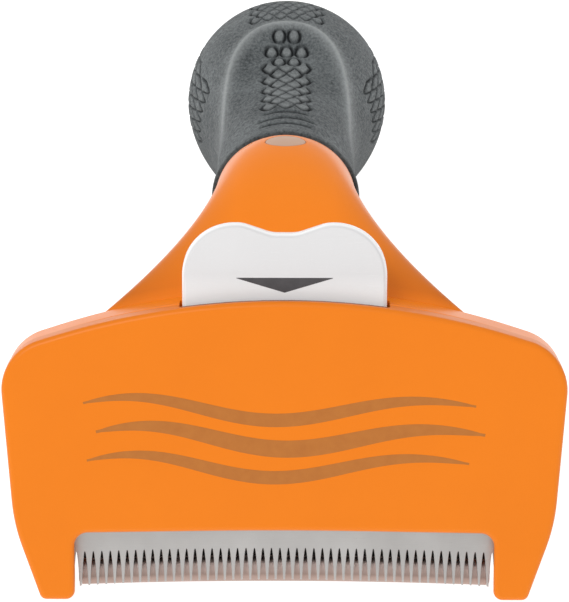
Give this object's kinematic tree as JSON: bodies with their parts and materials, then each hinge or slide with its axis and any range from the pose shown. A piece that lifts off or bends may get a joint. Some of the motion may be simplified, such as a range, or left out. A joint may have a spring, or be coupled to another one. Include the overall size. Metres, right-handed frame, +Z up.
{
  "type": "deshedding tool",
  "caption": "Pet grooming rake with a toothed steel blade between two skids, a push-button hair ejector and a soft-grip handle.",
  "frame": {"origin": "middle of the tool's footprint, on the surface that it rests on", "axes": "+Y from the blade towards the butt of the handle, +X across the head to the right as seen from the face, +Z up from the table"},
  "size_m": [0.0902, 0.1582, 0.058],
  "materials": {
    "orange_cover": "satin moulded orange plastic",
    "orange_housing": "satin moulded orange plastic",
    "orange_plug": "satin pale orange plastic",
    "white_button": "gloss white plastic",
    "slide_plastic": "matte black plastic",
    "core_plastic": "matte black plastic",
    "grip_rubber": "fine-grained grey thermoplastic rubber",
    "blade_steel": "ground stainless steel",
    "guard_steel": "satin-coated steel",
    "plate_steel": "stainless sheet",
    "screw_steel": "zinc-plated steel",
    "spring_steel": "spring steel wire"
  },
  "bodies": {
    "tool": {"front_cover": "orange_cover", "rear_housing": "orange_housing", "blade": "blade_steel", "skin_guard": "guard_steel", "blade_screw_left": "screw_steel", "blade_screw_middle": "screw_steel", "blade_screw_right": "screw_steel", "cover_screw_upper_left": "screw_steel", "cover_screw_upper_right": "screw_steel", "cover_screw_lower_left": "screw_steel", "cover_screw_lower_right": "screw_steel", "return_spring_left": "spring_steel", "return_spring_right": "spring_steel", "screw_plug": "orange_plug", "handle_core": "core_plastic", "core_end_cap": "core_plastic", "grip_sleeve": "grip_rubber", "handle_screw": "screw_steel"},
    "ejector": {"ejector_button": "white_button", "ejector_slide": "slide_plastic", "ejector_plate": "plate_steel", "plate_rivet_left": "screw_steel", "plate_rivet_right": "screw_steel", "button_screw_left": "screw_steel", "button_screw_right": "screw_steel"}
  },
  "joints": [
    {"name": "ejector_push", "type": "slide", "parent": "tool", "child": "ejector", "axis": [0, -0.3787, -0.9255], "range_m": [0, 0.0093], "stiffness_N_per_m": 500, "springref_m": -0.004, "deforming": ["return_spring_left", "return_spring_right"]}
  ]
}
